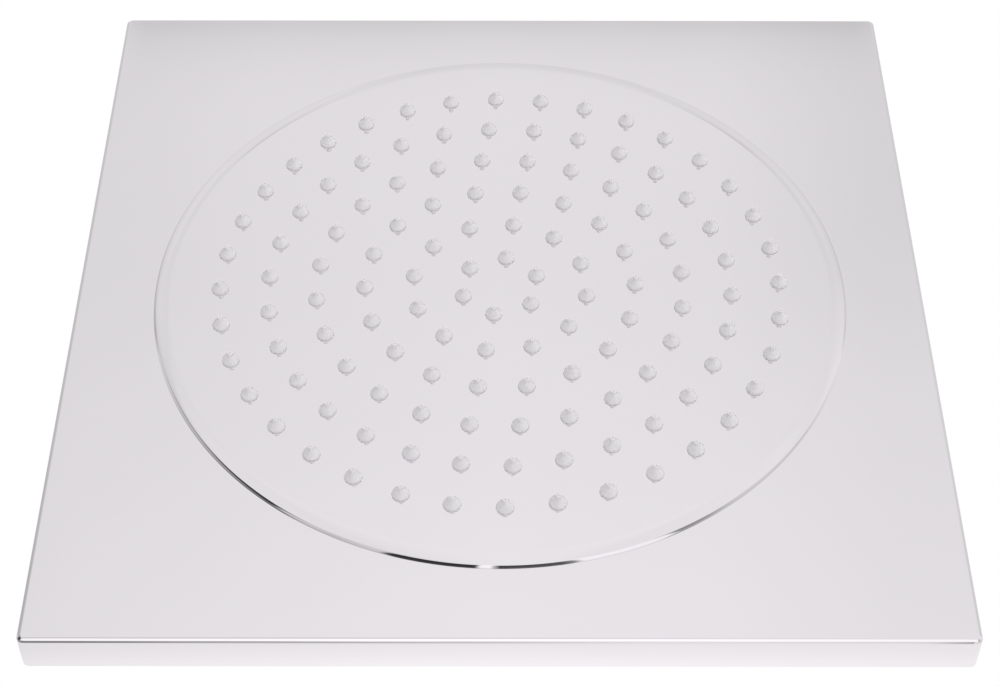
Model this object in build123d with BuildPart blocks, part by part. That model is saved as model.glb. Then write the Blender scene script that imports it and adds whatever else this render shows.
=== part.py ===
"""Square rain shower head, 300 mm, hung from a G 1/2 union nut by a ball swivel.

Millimetres, +Z up. The origin is the centre of the union nut's mouth, and the spray face looks down.
Inside the box a silicone nozzle mat lies in the pressed field of the shell, under a moulded water chamber.
"""

import os
from math import atan, cos, degrees, pi, radians, sin, sqrt

from build123d import *

# Shell: one steel sheet, pressed and folded
SIDE = 300.0  # square face, over the walls
BOX_H = 14.0  # face to back edge
SHEET = 1.2
EDGE_BEND = 1.5  # outer radius of the folds round the face
CORNER_R = 2.4  # outer radius of the upright corners
FIELD_D = 244.8  # raised round field, across its foot
FIELD_RISE = 1.8
SHOULDER_W = 5.4  # width of the field's shoulder, with the step at its foot
SHOULDER_DROP = 0.75  # how far the shoulder leans before the step
FOOT_W = 0.9  # width of the rounded step
MIN_BEND = 0.2  # smallest inner fold radius

# Nozzles: rings of 6, 12, 18 and so on, all counted from one radius
RING_COUNT = 6
RING_STEP = 6  # nozzles that each ring has more than the one inside it
FIRST_RING_R = 13.9
RING_PITCH = 17.05
FIELD_TURN = -21.0  # degrees, from the square's axis to the first nozzle
NOZZLE_D = 6.1  # at the face
NOZZLE_NECK_D = 2.3  # where the cone ends
NOZZLE_TIP_D = 1.8
NOZZLE_CONE_H = 2.5
NOZZLE_H = 4.2
NOZZLE_SIDES = 8  # round nipples, drawn with few faces because there are so many
HOLE_GAP = 0.1
MAT_GAP = 1.5  # mat's rim to the start of the shoulder

# Water chamber over the mat
CHAMBER_WALL = 2.0
CHAMBER_MARGIN = 3.0  # outermost nozzle to the chamber's wall
DISH_DRAFT = 3.0  # how far the dish's wall leans in
FLANGE_T = 3.0
BOSS_RISE = 1.1
BOSS_WALL = 3.4
BOSS_GAP = 0.5  # inlet boss to the lock nut above it
RIB_COUNT = 12
RIB_W = 1.6
RIB_H = 1.5
RIB_INNER_R = 24.0
RIB_END_GAP = 6.0

# Studs and nuts round the chamber
STUD_COUNT = 8
STUD_D = 4.0
STUD_TO_FIELD = 8.0  # stud centres, outside the field's foot
STUD_EDGE = 7.0  # stud centres to the flange's rim
STUD_HOLE_GAP = 0.3
STUD_END = 0.8  # thread standing out of the nut
STUD_NUT_AF = 7.0
STUD_NUT_H = 3.2

# Union nut, G 1/2 inside, plain bore at the thread's minor diameter
NUT_H = 18.0
NUT_AF = 25.0
NUT_LIP = 3.0
NUT_CHAMFER = 1.2
THREAD_D = 18.64
NUT_RELIEF = 0.9  # recess round the washer, deeper than the thread

# Ball and stem
STEM_D = 14.4
STEM_BORE = 10.0
STEM_LAND = 1.6  # stem's end above the clip
NECK_LENGTH = 12.5  # nut's lower face to the ball's centre
BALL_D = 24.0
BALL_FLAT = 10.0  # ball's centre to its cut-off lower end
CLIP_T = 1.2
CLIP_GROOVE = 0.8
CLIP_GAP = 0.5  # clip and washer to the nut's bore
CLIP_MOUTH = 5.0
WASHER_T = 2.0
WASHER_LAP = 0.5  # washer's hole, wider than the stem's bore
FILTER_D = 14.0
FILTER_T = 0.5
FILTER_RINGS = 3
FILTER_STEP = 6  # holes that each ring has more than the one inside it
FILTER_PITCH = 1.6
FILTER_HOLE_D = 1.1
LIMITER_D = 11.6
LIMITER_T = 1.4
LIMITER_ORIFICE = 4.4

# Ball socket
SEAT_WALL = 2.6
SEAT_LATITUDE = 38.0  # degrees below the ball's equator, where the seat touches
SEAT_UP = 5.0  # seat's cone, from the touching circle to its upper edge
SEAT_DOWN = 1.5
CUP_WALL = 2.0
CUP_FLOOR = 2.5
CUP_HOLE = 13.0
LIP_LATITUDE = 31.0  # degrees above the equator, where the collar's lip holds the ball
LIP_HALF = 1.4  # half the length of the lip's cone
LIP_FLARE = 1.0
LIP_LAND = 1.7
CUP_TO_LIP = 0.6
COLLAR_WALL = 2.7
COLLAR_GAP = 0.6  # collar's lower edge to the flange
COLLAR_FLAT_DEPTH = 1.0  # six wrench flats
SOCKET_FLANGE_T = 3.0
SOCKET_FLANGE_W = 1.5  # flange, outside the collar
SHANK_D = 20.8
LOCK_NUT_AF = 30.0
LOCK_NUT_T = 4.0
GASKET_T = 1.5
GASKET_INSET = 0.6  # gasket's rim inside the flange's
SPIGOT_D = 15.0
SPIGOT_BORE = 10.0
SPIGOT_SHORT = 0.5  # spigot's end, above the chamber's ceiling
SPIGOT_GAP = 0.15
SEAL_W = 1.0
SEAL_H = 1.2
SEAL_LAND = 0.7  # groove, below the boss's upper edge

# Back cover, its brackets and screws
COVER_GAP = 0.25
COVER_HOLE_GAP = 0.3
BRACKET_W = 16.0
BRACKET_T = 1.5
BRACKET_LEG = 5.0
BRACKET_CORNER = 2.5  # cut-off corner that clears the shell's upright corner
SCREW_D = 3.0
SCREW_HEAD_D = 5.6
SCREW_HEAD_H = 1.7
SCREW_HEAD_EDGE = 0.9
SCREW_SOCKET_AF = 2.0
SCREW_SOCKET_DEPTH = 1.0
SCREW_HOLE_GAP = 0.2
SCREW_END = 1.0  # thread standing out of the bracket

HEX = 6  # sides of a nut or a wrench socket

# Fits
FIT = 0.05  # pieces that are screwed or pushed together
RUN_GAP = 0.2  # pieces that turn in one another
BALL_GAP = 0.25  # ball to its seat and lip

# Radii
stem_r = STEM_D / 2
thread_r = THREAD_D / 2
ball_r = BALL_D / 2
ball_room_r = ball_r + BALL_GAP
seat_r = ball_r + SEAT_WALL
cup_bore_r = seat_r + RUN_GAP
cup_r = cup_bore_r + CUP_WALL
collar_bore_r = cup_r + FIT
collar_r = collar_bore_r + COLLAR_WALL
socket_flange_r = collar_r + SOCKET_FLANGE_W
shank_r = SHANK_D / 2
spigot_r = SPIGOT_D / 2
boss_bore_r = spigot_r + SPIGOT_GAP
boss_r = boss_bore_r + BOSS_WALL
clip_r = thread_r - CLIP_GAP
groove_r = stem_r - CLIP_GROOVE
field_r = FIELD_D / 2
shoulder_r = field_r - SHOULDER_W
step_r = field_r - FOOT_W
shoulder_tilt = 2 * atan(SHOULDER_DROP / (step_r - shoulder_r))
mat_r = shoulder_r - MAT_GAP
nozzle_r = NOZZLE_D / 2
last_ring_r = FIRST_RING_R + (RING_COUNT - 1) * RING_PITCH
chamber_r = last_ring_r + nozzle_r + CHAMBER_MARGIN
dish_r = chamber_r - DISH_DRAFT
stud_ring_r = field_r + STUD_TO_FIELD
chamber_flange_r = stud_ring_r + STUD_EDGE
stud_hole_r = STUD_D / 2 + STUD_HOLE_GAP
inner_half = SIDE / 2 - SHEET

# Heights, from the nut's mouth down
nut_bottom_z = -NUT_H
nut_lip_z = nut_bottom_z + NUT_LIP
clip_bottom_z = nut_lip_z + RUN_GAP
clip_top_z = clip_bottom_z + CLIP_T
stem_top_z = clip_top_z + STEM_LAND
washer_top_z = stem_top_z + WASHER_T
ball_z = nut_bottom_z - NECK_LENGTH
cup_floor_z = ball_z - ball_r
flange_bottom_z = cup_floor_z - CUP_FLOOR
flange_top_z = flange_bottom_z + SOCKET_FLANGE_T
back_z = flange_bottom_z - GASKET_T
cover_inside_z = back_z - SHEET
lock_nut_bottom_z = cover_inside_z - LOCK_NUT_T
boss_top_z = lock_nut_bottom_z - BOSS_GAP
chamber_top_z = boss_top_z - BOSS_RISE
ceiling_z = chamber_top_z - CHAMBER_WALL
spigot_end_z = ceiling_z + SPIGOT_SHORT
seal_top_z = boss_top_z - SEAL_LAND
face_z = back_z - BOX_H
floor_z = face_z + SHEET  # inside of the square sheet
field_z = face_z - FIELD_RISE
field_floor_z = field_z + SHEET  # inside of the raised field
chamber_flange_z = floor_z + FLANGE_T
stud_nut_top_z = chamber_flange_z + STUD_NUT_H
bracket_bottom_z = cover_inside_z - BRACKET_T

# Collar's lip, a cone that touches the ball's room on one circle
lip_tilt = radians(LIP_LATITUDE)
lip_r = ball_room_r * cos(lip_tilt)
lip_z = ball_z + ball_room_r * sin(lip_tilt)
lip_low_r = lip_r + LIP_HALF * sin(lip_tilt)
lip_low_z = lip_z - LIP_HALF * cos(lip_tilt)
lip_high_r = lip_r - LIP_HALF * sin(lip_tilt)
lip_high_z = lip_z + LIP_HALF * cos(lip_tilt)
collar_top_z = lip_high_z + LIP_FLARE
collar_top_r = lip_high_r + LIP_FLARE + LIP_LAND
cup_top_z = lip_low_z - CUP_TO_LIP

# Seat's cone, on the same room under the ball
seat_tilt = radians(SEAT_LATITUDE)
seat_touch_r = ball_room_r * cos(seat_tilt)
seat_touch_z = ball_z - ball_room_r * sin(seat_tilt)
seat_high_r = seat_touch_r + SEAT_UP * sin(seat_tilt)
seat_high_z = seat_touch_z + SEAT_UP * cos(seat_tilt)
seat_low_r = seat_touch_r - SEAT_DOWN * sin(seat_tilt)
seat_low_z = seat_touch_z - SEAT_DOWN * cos(seat_tilt)
seat_bottom_z = cup_floor_z + RUN_GAP


# Nozzles, ring by ring
nozzle_places = []
for ring in range(RING_COUNT):
    ring_r = FIRST_RING_R + ring * RING_PITCH
    nozzle_places += PolarLocations(ring_r, RING_STEP * (ring + 1), start_angle=FIELD_TURN)


def field_sketch(height):
    """Half section of what the press moves: the raised field, below a square face at this height."""
    step_z = height - FIELD_RISE + SHOULDER_DROP
    with BuildSketch(Plane.XZ) as section:
        with BuildLine():
            Line((0, height - FIELD_RISE), (shoulder_r, height - FIELD_RISE))
            TangentArc((shoulder_r, height - FIELD_RISE), (step_r, step_z), tangent=(1, 0))
            TangentArc((step_r, step_z), (field_r, height), tangent=(cos(shoulder_tilt), sin(shoulder_tilt)))
            Polyline((field_r, height), (field_r, height + SHEET / 2), (0, height + SHEET / 2))
            Line((0, height + SHEET / 2), (0, height - FIELD_RISE))
        make_face()
    return section.sketch


def ring_sketch(inner_r, outer_r, low_z, high_z):
    """Half section of a plain ring."""
    with BuildSketch(Plane.XZ) as section:
        with BuildLine():
            Polyline((inner_r, low_z), (outer_r, low_z), (outer_r, high_z), (inner_r, high_z), close=True)
        make_face()
    return section.sketch


# Front shell
with BuildPart() as front_shell:
    with BuildSketch(Plane.XY.offset(face_z)):
        RectangleRounded(SIDE, SIDE, CORNER_R)
    extrude(amount=BOX_H)
    fillet(front_shell.faces().sort_by(Axis.Z)[0].edges(), radius=EDGE_BEND)
    with BuildSketch(Plane.XY.offset(floor_z)):
        RectangleRounded(2 * inner_half, 2 * inner_half, max(CORNER_R - SHEET, MIN_BEND))
    extrude(amount=BOX_H, mode=Mode.SUBTRACT)
    inside_floor = front_shell.faces().filter_by(Plane.XY).sort_by(Axis.Z)[1]
    fillet(inside_floor.edges(), radius=max(EDGE_BEND - SHEET, MIN_BEND))
    revolve(field_sketch(face_z), axis=Axis.Z)
    revolve(field_sketch(floor_z), axis=Axis.Z, mode=Mode.SUBTRACT)
    with BuildSketch(Plane.XY.offset(field_z)):
        with Locations(nozzle_places):
            RegularPolygon(nozzle_r + HOLE_GAP, NOZZLE_SIDES)
    extrude(amount=SHEET, mode=Mode.SUBTRACT)

# One nozzle: a shank through the sheet, a low cone below it, and a slender tip
nozzle_flat = cos(pi / NOZZLE_SIDES)
nozzle_taper = degrees(atan((nozzle_r - NOZZLE_NECK_D / 2) * nozzle_flat / NOZZLE_CONE_H))
with BuildPart() as nozzle:
    with BuildSketch(Plane.XY.offset(field_z)):
        RegularPolygon(nozzle_r, NOZZLE_SIDES)
    extrude(amount=-NOZZLE_CONE_H)
    draft(nozzle.faces().filter_by(Axis.Z, reverse=True), -Plane.XY.offset(field_z), nozzle_taper)
    with BuildSketch(Plane.XY.offset(field_z - NOZZLE_CONE_H)):
        RegularPolygon(NOZZLE_TIP_D / 2, NOZZLE_SIDES)
    extrude(amount=-(NOZZLE_H - NOZZLE_CONE_H))
    with BuildSketch(Plane.XY.offset(field_z)):
        RegularPolygon(nozzle_r, NOZZLE_SIDES)
    extrude(amount=SHEET)

# Nozzle mat, as thick as the field is deep, so that it fills the field flush
with BuildPart() as nozzle_mat:
    with BuildSketch(Plane.XY.offset(field_floor_z)):
        Circle(mat_r)
    extrude(amount=FIELD_RISE)
    with Locations(nozzle_places):
        add(nozzle.part)

# Water chamber
with BuildPart() as water_chamber:
    with BuildSketch(Plane.XZ):
        with BuildLine():
            Polyline(
                (boss_bore_r, ceiling_z),
                (boss_bore_r, boss_top_z),
                (boss_r, boss_top_z),
                (boss_r, chamber_top_z),
                (dish_r + CHAMBER_WALL, chamber_top_z),
                (chamber_r + CHAMBER_WALL, chamber_flange_z),
                (chamber_flange_r, chamber_flange_z),
                (chamber_flange_r, floor_z),
                (chamber_r, floor_z),
                (dish_r, ceiling_z),
                close=True,
            )
        make_face()
    revolve(axis=Axis.Z)
    rib_length = dish_r - RIB_END_GAP - RIB_INNER_R
    with BuildSketch(Plane.XY.offset(chamber_top_z)):
        with PolarLocations(RIB_INNER_R + rib_length / 2, RIB_COUNT):
            Rectangle(rib_length, RIB_W)
    extrude(amount=RIB_H)
    with BuildSketch(Plane.XY.offset(floor_z)):
        with PolarLocations(stud_ring_r, STUD_COUNT):
            Circle(stud_hole_r)
    extrude(amount=FLANGE_T, mode=Mode.SUBTRACT)

# Weld studs on the inside of the shell
with BuildPart() as chamber_studs:
    with BuildSketch(Plane.XY.offset(floor_z)):
        with PolarLocations(stud_ring_r, STUD_COUNT):
            Circle(STUD_D / 2)
    extrude(amount=stud_nut_top_z + STUD_END - floor_z)

# Nuts on the studs
with BuildPart() as chamber_nuts:
    with BuildSketch(Plane.XY.offset(chamber_flange_z)):
        with PolarLocations(stud_ring_r, STUD_COUNT):
            RegularPolygon(STUD_NUT_AF / 2, HEX, major_radius=False)
            Circle(STUD_D / 2 + FIT, mode=Mode.SUBTRACT)
    extrude(amount=STUD_NUT_H)

# Union nut
with BuildPart() as inlet_nut:
    with BuildSketch(Plane.XY.offset(nut_bottom_z)):
        RegularPolygon(NUT_AF / 2, HEX, major_radius=False)
    extrude(amount=NUT_H)
    with BuildSketch(Plane.XZ):
        nut_corner_r = NUT_AF / 2 / cos(pi / HEX)
        with BuildLine():
            Polyline(
                (0, 0),
                (NUT_AF / 2, 0),
                (nut_corner_r, -NUT_CHAMFER / 2),
                (nut_corner_r, nut_bottom_z + NUT_CHAMFER / 2),
                (NUT_AF / 2, nut_bottom_z),
                (0, nut_bottom_z),
                close=True,
            )
        make_face()
    revolve(axis=Axis.Z, mode=Mode.INTERSECT)
    with BuildSketch(Plane.XY.offset(washer_top_z)):
        Circle(thread_r)
    extrude(amount=NUT_H, mode=Mode.SUBTRACT)
    with BuildSketch(Plane.XY.offset(nut_lip_z)):
        Circle(thread_r + NUT_RELIEF)
    extrude(amount=washer_top_z - nut_lip_z, mode=Mode.SUBTRACT)
    with BuildSketch(Plane.XY.offset(nut_bottom_z)):
        Circle(stem_r + RUN_GAP)
    extrude(amount=NUT_H, mode=Mode.SUBTRACT)

# Ball and stem, turned from one bar
neck_z = ball_z + sqrt(ball_r**2 - stem_r**2)
ball_end_z = ball_z - BALL_FLAT
ball_end_r = sqrt(ball_r**2 - BALL_FLAT**2)
limiter_seat_z = stem_top_z - LIMITER_T
limiter_r = LIMITER_D / 2
with BuildPart() as ball_stem:
    with BuildSketch(Plane.XZ):
        with BuildLine():
            Polyline(
                (ball_end_r, ball_end_z),
                (STEM_BORE / 2, ball_end_z),
                (STEM_BORE / 2, limiter_seat_z),
                (limiter_r, limiter_seat_z),
                (limiter_r, stem_top_z),
                (stem_r, stem_top_z),
                (stem_r, clip_top_z + FIT),
                (groove_r, clip_top_z + FIT),
                (groove_r, clip_bottom_z - FIT),
                (stem_r, clip_bottom_z - FIT),
                (stem_r, neck_z),
            )
            ThreePointArc((stem_r, neck_z), (ball_r, ball_z), (ball_end_r, ball_end_z))
        make_face()
    revolve(axis=Axis.Z)

# Snap ring
with BuildPart() as stem_clip:
    revolve(ring_sketch(groove_r + FIT, clip_r, clip_bottom_z, clip_top_z), axis=Axis.Z)
    with BuildSketch(Plane.XY.offset(clip_bottom_z)):
        Rectangle(2 * clip_r, CLIP_MOUTH, align=(Align.MIN, Align.CENTER))
    extrude(amount=CLIP_T, mode=Mode.SUBTRACT)

# Sealing washer, with a seat for the strainer
filter_seat_z = washer_top_z - FILTER_T
filter_r = FILTER_D / 2
washer_hole_r = STEM_BORE / 2 + WASHER_LAP
with BuildPart() as inlet_washer:
    with BuildSketch(Plane.XZ):
        with BuildLine():
            Polyline(
                (washer_hole_r, stem_top_z),
                (clip_r, stem_top_z),
                (clip_r, washer_top_z),
                (filter_r + FIT, washer_top_z),
                (filter_r + FIT, filter_seat_z),
                (washer_hole_r, filter_seat_z),
                close=True,
            )
        make_face()
    revolve(axis=Axis.Z)

# Strainer
with BuildPart() as filter_screen:
    with BuildSketch(Plane.XY.offset(filter_seat_z)):
        Circle(filter_r)
        for ring in range(1, FILTER_RINGS + 1):
            with PolarLocations(ring * FILTER_PITCH, FILTER_STEP * ring):
                RegularPolygon(FILTER_HOLE_D / 2, HEX, mode=Mode.SUBTRACT)
    extrude(amount=FILTER_T)

# Orifice disc
with BuildPart() as flow_limiter:
    revolve(ring_sketch(LIMITER_ORIFICE / 2, limiter_r - FIT, limiter_seat_z, stem_top_z), axis=Axis.Z)

# Seat under the ball
with BuildPart() as ball_seat:
    with BuildSketch(Plane.XZ):
        with BuildLine():
            Polyline(
                (seat_low_r, seat_bottom_z),
                (seat_r, seat_bottom_z),
                (seat_r, seat_high_z),
                (seat_high_r, seat_high_z),
                (seat_low_r, seat_low_z),
                close=True,
            )
        make_face()
    revolve(axis=Axis.Z)

# Collar nut
collar_bottom_z = flange_top_z + COLLAR_GAP
with BuildPart() as collar_nut:
    with BuildSketch(Plane.XZ):
        with BuildLine():
            Polyline(
                (collar_bore_r, collar_bottom_z),
                (collar_r, collar_bottom_z),
                (collar_r, lip_low_z),
                (collar_top_r, collar_top_z),
                (lip_high_r + LIP_FLARE, collar_top_z),
                (lip_high_r, lip_high_z),
                (lip_low_r, lip_low_z),
                (collar_bore_r, lip_low_z),
                close=True,
            )
        make_face()
    revolve(axis=Axis.Z)
    with BuildSketch(Plane.XY.offset(collar_bottom_z)):
        RegularPolygon(collar_r - COLLAR_FLAT_DEPTH, HEX, major_radius=False)
    extrude(amount=collar_top_z - collar_bottom_z, mode=Mode.INTERSECT)

# Socket body: cup, flange, shank and spigot
seal_groove_r = spigot_r - SEAL_W
seal_bottom_z = seal_top_z - SEAL_H - 2 * FIT
with BuildPart() as socket_body:
    with BuildSketch(Plane.XZ):
        with BuildLine():
            Polyline(
                (CUP_HOLE / 2, cup_floor_z),
                (cup_bore_r, cup_floor_z),
                (cup_bore_r, cup_top_z),
                (cup_r, cup_top_z),
                (cup_r, flange_top_z),
                (socket_flange_r, flange_top_z),
                (socket_flange_r, flange_bottom_z),
                (shank_r, flange_bottom_z),
                (shank_r, lock_nut_bottom_z),
                (spigot_r, lock_nut_bottom_z),
                (spigot_r, seal_top_z),
                (seal_groove_r, seal_top_z),
                (seal_groove_r, seal_bottom_z),
                (spigot_r, seal_bottom_z),
                (spigot_r, spigot_end_z),
                (SPIGOT_BORE / 2, spigot_end_z),
                (SPIGOT_BORE / 2, flange_bottom_z),
                (CUP_HOLE / 2, flange_bottom_z),
                close=True,
            )
        make_face()
    revolve(axis=Axis.Z)

# Ring seal on the spigot
with BuildPart() as spigot_seal:
    seal_r = boss_bore_r - FIT
    revolve(ring_sketch(seal_groove_r + FIT, seal_r, seal_bottom_z + FIT, seal_top_z - FIT), axis=Axis.Z)

# Gasket under the socket's flange
with BuildPart() as boss_gasket:
    gasket_r = socket_flange_r - GASKET_INSET
    revolve(ring_sketch(shank_r + COVER_HOLE_GAP, gasket_r, back_z, flange_bottom_z), axis=Axis.Z)

# Lock nut under the cover
with BuildPart() as lock_nut:
    with BuildSketch(Plane.XY.offset(lock_nut_bottom_z)):
        RegularPolygon(LOCK_NUT_AF / 2, HEX, major_radius=False)
        Circle(shank_r + FIT, mode=Mode.SUBTRACT)
    extrude(amount=LOCK_NUT_T)

# Back cover
cover_side = 2 * (inner_half - COVER_GAP)
cover_corner_r = max(CORNER_R - SHEET - COVER_GAP, MIN_BEND)
screw_place = inner_half - BRACKET_W / 2
with BuildPart() as back_cover:
    with BuildSketch(Plane.XY.offset(cover_inside_z)):
        RectangleRounded(cover_side, cover_side, cover_corner_r)
        Circle(shank_r + COVER_HOLE_GAP, mode=Mode.SUBTRACT)
        with GridLocations(2 * screw_place, 2 * screw_place, 2, 2):
            Circle(SCREW_D / 2 + SCREW_HOLE_GAP, mode=Mode.SUBTRACT)
    extrude(amount=SHEET)

# Angle pieces in the corners, spot-welded to one wall
bracket_edge = inner_half - BRACKET_W
bracket_cut = inner_half - BRACKET_CORNER
with BuildPart() as corner_brackets:
    for corner in range(4):
        quarter = Plane.XY.rotated((0, 0, 90 * corner))
        with BuildSketch(quarter.offset(bracket_bottom_z)):
            with BuildLine():
                Polyline(
                    (bracket_edge, bracket_edge),
                    (inner_half, bracket_edge),
                    (inner_half, bracket_cut),
                    (bracket_cut, inner_half),
                    (bracket_edge, inner_half),
                    close=True,
                )
            make_face()
            with Locations((screw_place, screw_place)):
                Circle(SCREW_D / 2 + FIT, mode=Mode.SUBTRACT)
        extrude(amount=BRACKET_T)
        with BuildSketch(quarter.offset(bracket_bottom_z)):
            with Locations((inner_half, bracket_edge)):
                Rectangle(BRACKET_T, BRACKET_W - BRACKET_CORNER, align=(Align.MAX, Align.MIN))
        extrude(amount=-BRACKET_LEG)

# Button-head screws
screw_grid = GridLocations(2 * screw_place, 2 * screw_place, 2, 2)
with BuildPart() as cover_screws:
    with BuildSketch(Plane.XY.offset(back_z)):
        with screw_grid:
            Circle(SCREW_HEAD_D / 2)
    extrude(amount=SCREW_HEAD_H)
    head_tops = cover_screws.faces().filter_by(Plane.XY).group_by(Axis.Z)[-1]
    chamfer(head_tops.edges(), length=SCREW_HEAD_EDGE)
    with BuildSketch(Plane.XY.offset(back_z + SCREW_HEAD_H)):
        with screw_grid:
            RegularPolygon(SCREW_SOCKET_AF / 2, HEX, major_radius=False)
    extrude(amount=-SCREW_SOCKET_DEPTH, mode=Mode.SUBTRACT)
    with BuildSketch(Plane.XY.offset(back_z)):
        with screw_grid:
            Circle(SCREW_D / 2)
    extrude(amount=bracket_bottom_z - SCREW_END - back_z)

# One file for each piece
pieces = {
    "front_shell": front_shell,
    "nozzle_mat": nozzle_mat,
    "water_chamber": water_chamber,
    "chamber_studs": chamber_studs,
    "chamber_nuts": chamber_nuts,
    "inlet_nut": inlet_nut,
    "ball_stem": ball_stem,
    "stem_clip": stem_clip,
    "inlet_washer": inlet_washer,
    "filter_screen": filter_screen,
    "flow_limiter": flow_limiter,
    "ball_seat": ball_seat,
    "collar_nut": collar_nut,
    "socket_body": socket_body,
    "spigot_seal": spigot_seal,
    "boss_gasket": boss_gasket,
    "lock_nut": lock_nut,
    "back_cover": back_cover,
    "corner_brackets": corner_brackets,
    "cover_screws": cover_screws,
}
os.makedirs("parts", exist_ok=True)
for name, piece in pieces.items():
    piece.part.label = name
    export_step(piece.part, f"parts/{name}.step")
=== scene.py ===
"""Square rain shower head: finishes, studio and camera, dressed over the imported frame.

Metres, +Z up. The head hangs from its union nut, and the spray face looks down.
"""

from math import cos, pi, radians, sin

import bmesh
import bpy
from mathutils import Matrix, Vector


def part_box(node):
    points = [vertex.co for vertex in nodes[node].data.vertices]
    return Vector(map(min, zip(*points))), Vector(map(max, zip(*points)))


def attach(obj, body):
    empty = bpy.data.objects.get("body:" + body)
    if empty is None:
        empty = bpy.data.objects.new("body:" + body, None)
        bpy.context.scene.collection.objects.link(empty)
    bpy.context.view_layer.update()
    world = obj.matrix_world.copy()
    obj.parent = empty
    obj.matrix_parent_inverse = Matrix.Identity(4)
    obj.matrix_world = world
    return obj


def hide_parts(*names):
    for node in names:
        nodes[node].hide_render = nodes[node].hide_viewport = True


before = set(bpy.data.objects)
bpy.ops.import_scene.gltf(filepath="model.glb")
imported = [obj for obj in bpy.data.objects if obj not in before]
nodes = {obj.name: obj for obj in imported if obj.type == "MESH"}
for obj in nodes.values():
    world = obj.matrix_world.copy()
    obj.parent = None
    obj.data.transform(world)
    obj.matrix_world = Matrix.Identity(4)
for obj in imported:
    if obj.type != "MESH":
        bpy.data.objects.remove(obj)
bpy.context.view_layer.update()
scene = bpy.context.scene

MM = 0.001
WELD = 0.001 * MM  # points closer than this are one point
CREASE = radians(32)  # a steeper fold between two faces shades as an edge
FLAT = 0.99999  # a face whose normal lies this close to an axis is a flat wall
WHITE = (1.0, 1.0, 1.0, 1.0)
NOISE_RANGE = (0.3, 0.7)  # where most values of a noise lie

# Pressed shell
SHEET = 1.2 * MM
# Arcs from the face to the wall, each a first and a last tilt in degrees and a radius
FOLD_ARCS = [
    (0, 20, 0.6 * MM),
    (20, 28.5, 2.9 * MM),
    (28.5, 35.8, 6.3 * MM),
    (35.8, 57, 0.1 * MM),
    (57, 73, 2.3 * MM),
    (73, 88.7, 0.1 * MM),
]
ARC_STEPS = 6  # rows on each arc
INNER_BEND = 0.3 * MM
WALL_BOW = 0.07 * MM  # how far a wall stands out at half its height
WALL_ROWS = 8
CORNER_R = 2.4 * MM
FIELD_R = 122.4 * MM
FIELD_RISE = 1.8 * MM
SHOULDER_W = 5.4 * MM
# Arcs from the field down to the face: a long lean, then a step with a straight flank
SHOULDER_ARCS = [
    (0, 18.9, 13.89 * MM),
    (18.9, 42, 0.864 * MM),
    (42, 50, 5.6 * MM),
    (50, 78, 0.05 * MM),
    (78, 84, 2.8 * MM),
]
HOLE_R = 3.06 * MM
HOLE_EDGE = 0.03 * MM  # broken edge of a hole
HOLE_STEPS = 12  # as a nozzle has, so that it fills its hole
ROUND_STEPS = 360
BEND_STEPS = 4
CORNER_STEPS = 10
CORNER_LEAD = 1.0 * MM  # from a corner to the nearest point on its side

# Nozzles
RING_COUNT = 6
RING_STEP = 6  # nozzles that each ring has more than the one inside it
FIRST_RING_R = 13.9 * MM
RING_PITCH = 17.05 * MM
FIELD_TURN = radians(-21)
NOZZLE_R = 3.05 * MM
# Half section of a nipple: how far it stands out and how wide it is, as shares of its height and radius
NOZZLE_FORM = [(0.0, 1.0), (0.155, 0.984), (0.286, 0.885), (0.595, 0.377), (0.655, 0.33), (1.0, 0.28)]
NOZZLE_STEPS = 12
MAT_STEPS = 160
JET_R = 0.40 * MM
JET_DEPTH = 1.2 * MM

# Union nut and its G 1/2 thread
NUT_AF = 25.0 * MM
NUT_CORNER_DROP = 0.6 * MM  # chamfer's depth at the corners
NUT_STEPS = 144
HEX = 6  # sides
THREAD_MINOR_R = 9.32 * MM
THREAD_ROOT_R = 10.22 * MM
THREAD_PITCH = 1.814 * MM
THREAD_LENGTH = 10.0 * MM
THREAD_CREST = 0.35 * MM
THREAD_ROOT = 0.92 * THREAD_PITCH  # width of the ridge at its root
THREAD_STEPS = 48  # along one turn
THREAD_SIDE = radians(90)  # turns the ridge's crest to the axis
MOUTH_CHAMFER = 0.7 * MM
NUT_LIP = 3.0 * MM
STEM_HOLE_R = 7.4 * MM

# Cover screws
SCREW_HEAD_R = 2.8 * MM
SCREW_SOCKET_AF = 2.0 * MM
SCREW_SOCKET_DEPTH = 1.0 * MM
SCREW_SHANK_R = 1.5 * MM
SCREW_RIM_R = 1.5 * MM  # flat round the socket
SCREW_BRIM = 0.15  # share of the head's height that lies under the dome
SCREW_DOME_ROWS = 6
SCREW_STEPS = 24

# Photograph's camera
LENS_MM = 77.94
SENSOR_MM = 36.0
CAMERA_AT = Vector((0, 0.5304, -0.6186))
CAMERA_ELEVATION = radians(47.874)
CAMERA_ROLL = radians(0.07)

# Floor under the camera
FLOOR_R = 12.0
FLOOR_Z = -0.95
FLOOR_STEPS = 96
FLOOR_WHITE = 0.8  # share of plain white in what the camera sees of it

# Places, from the frame
shell_low, shell_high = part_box("front_shell")
half = shell_high.x
back_z = shell_high.z
field_z = shell_low.z
face_z = field_z + FIELD_RISE
mat_low, mat_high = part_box("nozzle_mat")
tip_z = mat_low.z
mat_r = mat_high.x
nut_low, nut_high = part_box("inlet_nut")
screw_low, screw_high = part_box("cover_screws")


# Node trees

def put(tree, kind, inputs=None, **settings):
    """Adds a node, sets its options, and feeds its inputs with values or with other nodes' outputs."""
    made = tree.nodes.new(kind)
    for name, value in settings.items():
        setattr(made, name, value)
    for name, value in (inputs or {}).items():
        if isinstance(value, bpy.types.NodeSocket):
            tree.links.new(value, made.inputs[name])
        else:
            made.inputs[name].default_value = value
    return made


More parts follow.
